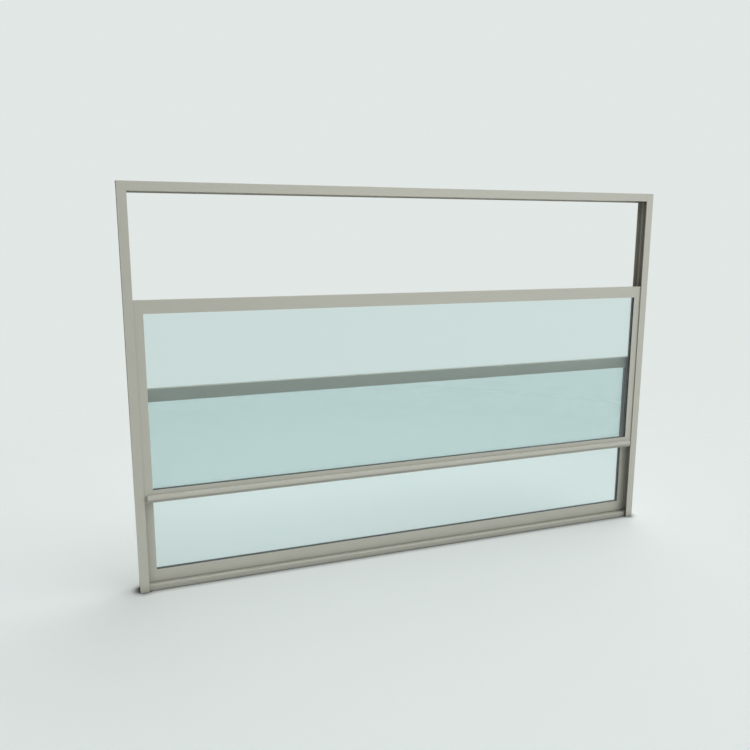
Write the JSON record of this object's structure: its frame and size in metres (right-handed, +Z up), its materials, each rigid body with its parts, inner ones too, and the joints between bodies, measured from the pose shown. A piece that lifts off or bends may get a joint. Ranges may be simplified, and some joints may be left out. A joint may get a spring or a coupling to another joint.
{
  "type": "vertical sliding window",
  "caption": "Wide aluminium window with a fixed lower sash and a vertically sliding sash in front of it, double glazed, with a full-width rounded grip rail.",
  "frame": {"origin": "bottom centre of the whole window, grip rail included, on the floor under the jambs and sill", "axes": "+X along the width to the right seen from the front, +Y from the front face to the back, +Z up"},
  "size_m": [3, 0.0909, 2],
  "materials": {
    "frame": "satin powder coat, warm light grey, on extruded aluminium",
    "sash": "satin powder coat, warm light grey, on extruded aluminium",
    "end_caps": "moulded cap coloured like the sash",
    "glass": "clear float glass with a slight green tint",
    "gasket": "black extruded rubber",
    "spacer": "black warm-edge spacer bar",
    "brush": "dark grey woven pile on a plastic backing strip",
    "guide_plastic": "black moulded nylon"
  },
  "bodies": {
    "root": {"fixed_sash_back_gasket": "gasket", "fixed_sash_back_pane": "glass", "fixed_sash_bottom_bead": "sash", "fixed_sash_bottom_rail": "sash", "fixed_sash_front_gasket": "gasket", "fixed_sash_front_pane": "glass", "fixed_sash_left_bead": "sash", "fixed_sash_left_brushes": "brush", "fixed_sash_left_stile": "sash", "fixed_sash_right_bead": "sash", "fixed_sash_right_brushes": "brush", "fixed_sash_right_stile": "sash", "fixed_sash_seat_packers": "guide_plastic", "fixed_sash_side_packers": "guide_plastic", "fixed_sash_spacer": "spacer", "fixed_sash_top_bead": "sash", "fixed_sash_top_rail": "sash", "grip_rail": "sash", "grip_rail_end_caps": "end_caps", "head": "frame", "left_jamb": "frame", "right_jamb": "frame", "sill": "frame", "sliding_sash_back_gasket": "gasket", "sliding_sash_back_pane": "glass", "sliding_sash_bottom_bead": "sash", "sliding_sash_bottom_rail": "sash", "sliding_sash_front_gasket": "gasket", "sliding_sash_front_pane": "glass", "sliding_sash_guide_shoes": "guide_plastic", "sliding_sash_left_bead": "sash", "sliding_sash_left_brushes": "brush", "sliding_sash_left_stile": "sash", "sliding_sash_meeting_brush": "brush", "sliding_sash_right_bead": "sash", "sliding_sash_right_brushes": "brush", "sliding_sash_right_stile": "sash", "sliding_sash_spacer": "spacer", "sliding_sash_top_bead": "sash", "sliding_sash_top_rail": "sash"}
  },
  "joints": []
}
